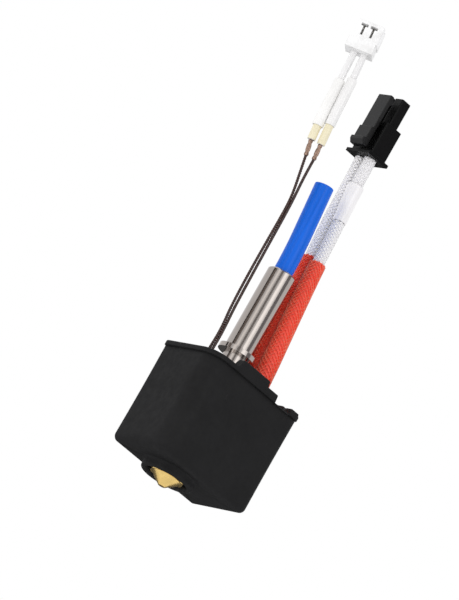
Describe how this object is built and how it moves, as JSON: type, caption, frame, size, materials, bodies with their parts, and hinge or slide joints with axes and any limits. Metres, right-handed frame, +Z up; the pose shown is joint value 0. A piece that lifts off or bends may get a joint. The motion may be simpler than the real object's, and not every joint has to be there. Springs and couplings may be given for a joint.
{
  "type": "printer hot end assembly",
  "caption": "Printer hot end: block in a silicone sock, brass nozzle, stainless heat break with liner tube, sleeved heater leads and thermistor leads ending in plugs.",
  "frame": {"origin": "centre of the heat break's flange, on its upper face, on the filament axis", "axes": "+Z up the filament axis away from the nozzle, X along the block's long side, the heater end at +X"},
  "size_m": [0.0291, 0.0176, 0.1028],
  "materials": {
    "block_aluminium": "machined",
    "turned_stainless": "fine turned",
    "blue_ptfe": "waxy satin",
    "nozzle_brass": "turned, bright",
    "black_silicone": "moulded, matt",
    "cartridge_steel": "ground",
    "cartridge_ceramic": "fired, matt",
    "black_oxide_steel": "black oxide",
    "white_glass_braid": "braided glass fibre",
    "red_glass_braid": "varnished glass-fibre braid",
    "brown_glass_braid": "varnished glass-fibre braid",
    "white_heat_shrink": "shrunk, satin",
    "cream_insulation": "satin",
    "white_tube": "satin",
    "clear_lead": "smooth, translucent",
    "splice_metal": "crimped, heat-tinted",
    "tinned_contact": "tin plated",
    "black_nylon": "moulded, satin",
    "natural_nylon": "moulded, satin"
  },
  "bodies": {
    "hotend": {"heater_block": "block_aluminium", "heat_break": "turned_stainless", "nozzle": "nozzle_brass", "heater_cartridge": "cartridge_steel", "heater_ceramic_plug": "cartridge_ceramic", "thermistor_cartridge": "cartridge_steel", "heater_grub_screw": "black_oxide_steel", "thermistor_grub_screw": "black_oxide_steel", "heat_shrink": "white_heat_shrink", "power_plug_housing": "black_nylon", "thermistor_plug_housing": "natural_nylon", "heater_wire_a": "white_glass_braid", "heater_wire_b": "white_glass_braid", "red_sleeve_a": "red_glass_braid", "red_sleeve_b": "red_glass_braid", "power_terminal_a": "tinned_contact", "power_terminal_b": "tinned_contact", "thermistor_wire_a": "brown_glass_braid", "thermistor_wire_b": "brown_glass_braid", "splice_crimp_a": "splice_metal", "splice_crimp_b": "splice_metal", "splice_insulator_a": "cream_insulation", "splice_insulator_b": "cream_insulation", "lead_tube_a": "white_tube", "lead_tube_b": "white_tube", "thermistor_lead_a": "clear_lead", "thermistor_lead_b": "clear_lead", "thermistor_terminal_a": "tinned_contact", "thermistor_terminal_b": "tinned_contact"},
    "sock": {"silicone_sock": "black_silicone"},
    "liner": {"ptfe_liner": "blue_ptfe"},
    "latch": {"power_plug_latch": "black_nylon"}
  },
  "joints": [
    {"name": "sock_pull", "type": "slide", "parent": "hotend", "child": "sock", "axis": [0, 0, -1], "range_m": [0, 0.03]},
    {"name": "liner_pull", "type": "slide", "parent": "hotend", "child": "liner", "axis": [0, 0, 1], "range_m": [0, 0.022]},
    {"name": "latch_press", "type": "hinge", "parent": "hotend", "child": "latch", "pos_m": [0.00385, 0.0036, 0.0566], "axis": [0, -1, 0], "range_deg": [0, 6], "stiffness_Nm_per_rad": 0.05}
  ]
}
